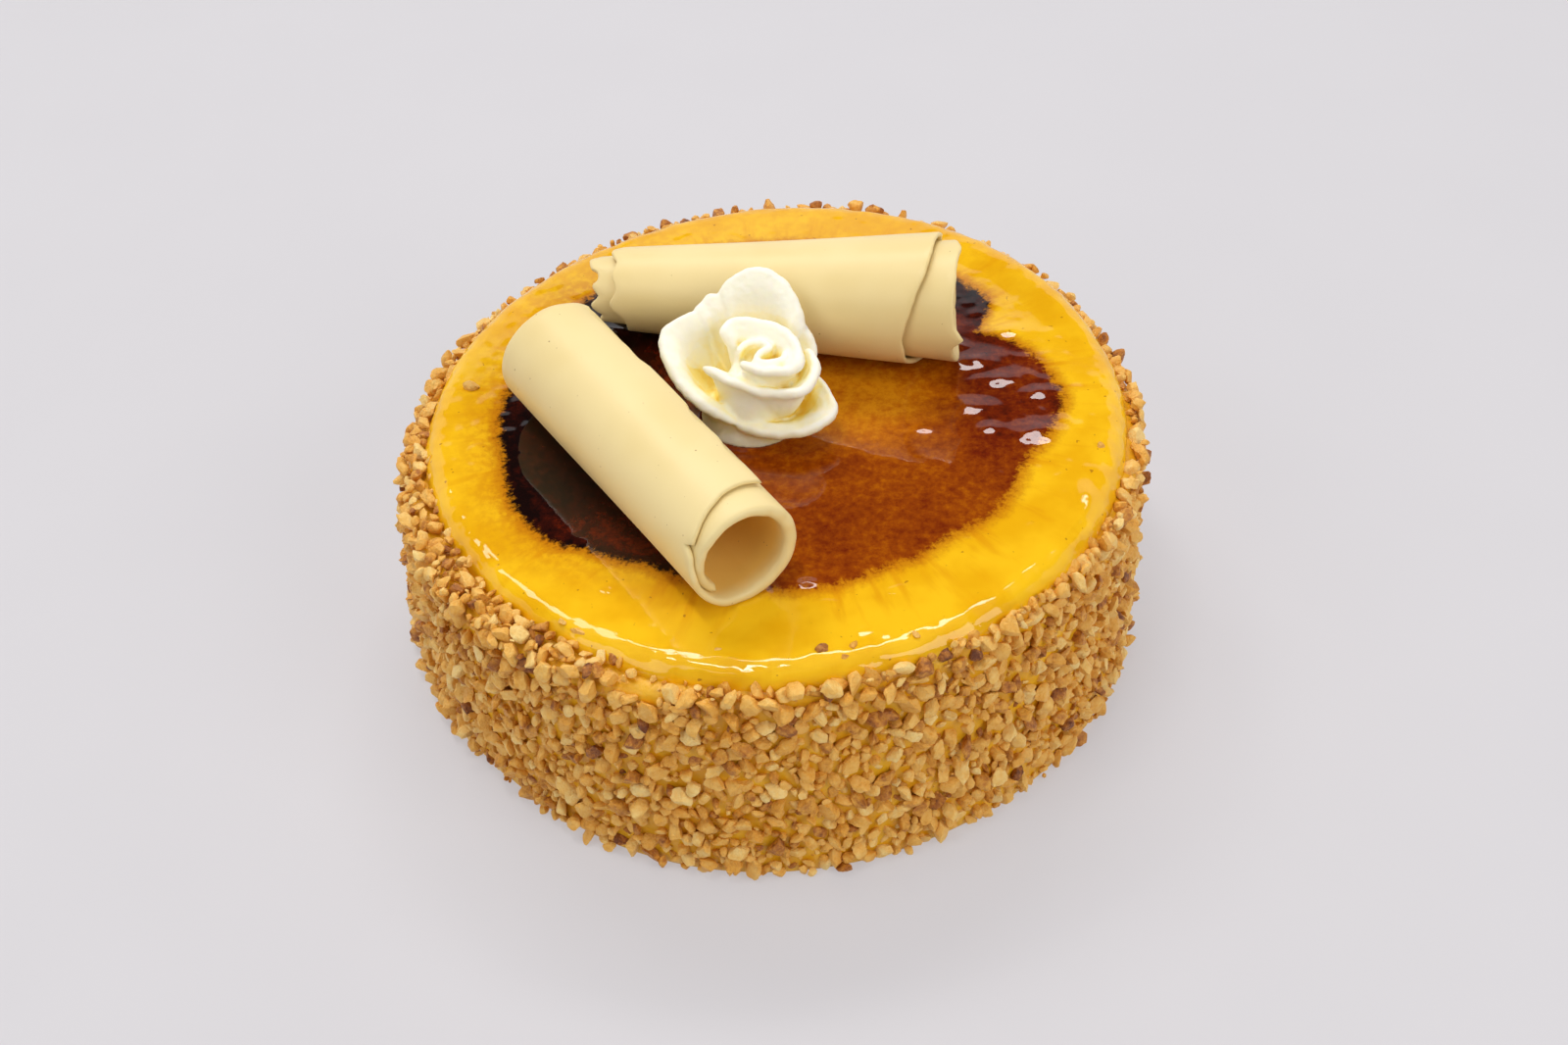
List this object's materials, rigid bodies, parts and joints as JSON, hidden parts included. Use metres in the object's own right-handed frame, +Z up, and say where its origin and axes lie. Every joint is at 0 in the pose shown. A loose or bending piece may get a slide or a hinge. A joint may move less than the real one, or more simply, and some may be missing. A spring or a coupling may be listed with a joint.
{
  "type": "cream and egg yolk cake",
  "caption": "Round sponge cake with a chopped almond side, a toasted glazed egg yolk top, white chocolate rolls and a piped cream rose.",
  "frame": {"origin": "centre of the cake's flat base, on the surface it stands on", "axes": "+Z up, -Y towards the side that faces the viewer, +X to the viewer's right"},
  "size_m": [0.1842, 0.1842, 0.0932],
  "materials": {
    "almonds": "rough chopped roasted almonds over yolk cream",
    "yolk": "glossy glaze over toasted egg yolk",
    "white_chocolate": "satin",
    "cream": "soft satin"
  },
  "bodies": {
    "root": {"almond_cake": "almonds", "yolk_layer": "yolk", "white_chocolate_roll_left": "white_chocolate", "white_chocolate_roll_right": "white_chocolate", "cream_rose": "cream"}
  },
  "joints": []
}
